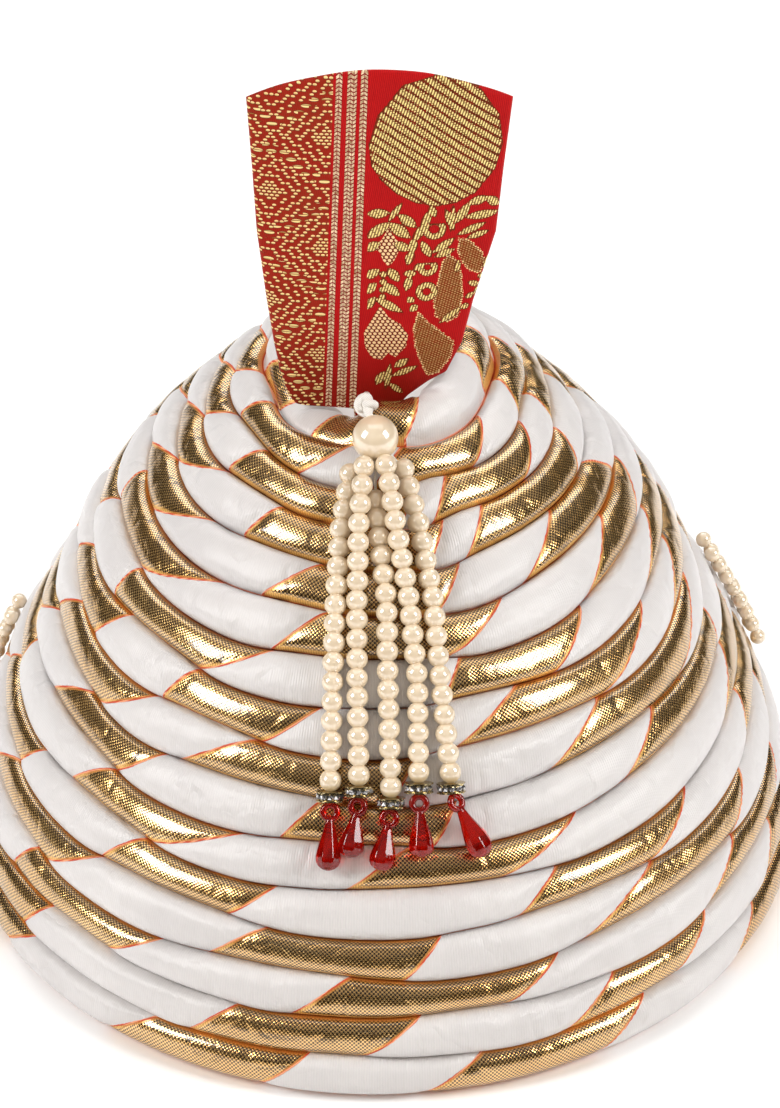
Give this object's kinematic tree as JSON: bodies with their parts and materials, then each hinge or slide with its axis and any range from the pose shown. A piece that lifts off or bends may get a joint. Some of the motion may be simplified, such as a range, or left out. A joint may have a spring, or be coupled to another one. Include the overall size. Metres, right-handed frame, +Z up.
{
  "type": "tied turban",
  "caption": "Tied wedding turban of slant-striped padded cloth rolls in an oval dome, with a standing brocade fan and a bead tassel down the front.",
  "frame": {"origin": "centre of the brim, on the surface that the turban stands on", "axes": "+Z up through the crown, -Y towards the front with the fan and the tassel, +X towards the wearer's left ear"},
  "size_m": [0.2221, 0.2415, 0.2307],
  "materials": {
    "inner_cloth": "plain wound cotton",
    "striped_cloth": "white satin and gold lame in slanting pieces with a red edge",
    "brocade": "red silk brocade with gold thread",
    "thread": "wound white thread",
    "pearl": "cream pearl lustre",
    "rondelle_metal": "pale gold plate set with clear stones",
    "red_glass": "clear red glass"
  },
  "bodies": {
    "root": {"inner_wrap": "inner_cloth", "roll_01": "striped_cloth", "roll_02": "striped_cloth", "roll_03": "striped_cloth", "roll_04": "striped_cloth", "roll_05": "striped_cloth", "roll_06": "striped_cloth", "roll_07": "striped_cloth", "roll_08": "striped_cloth", "roll_09": "striped_cloth", "roll_10": "striped_cloth", "roll_11": "striped_cloth", "roll_12": "striped_cloth", "roll_13": "striped_cloth", "roll_14": "striped_cloth", "roll_15": "striped_cloth", "roll_16": "striped_cloth", "fan": "brocade", "tassel_knot": "thread", "head_pearl": "pearl", "pearl_string_1": "pearl", "pearl_string_2": "pearl", "pearl_string_3": "pearl", "pearl_string_4": "pearl", "pearl_string_5": "pearl", "side_string_right_1": "pearl", "side_string_right_2": "pearl", "side_string_left_1": "pearl", "side_string_left_2": "pearl", "rondelle_1": "rondelle_metal", "rondelle_2": "rondelle_metal", "rondelle_3": "rondelle_metal", "rondelle_4": "rondelle_metal", "rondelle_5": "rondelle_metal", "red_drop_1": "red_glass", "red_drop_2": "red_glass", "red_drop_3": "red_glass", "red_drop_4": "red_glass", "red_drop_5": "red_glass"}
  },
  "joints": []
}
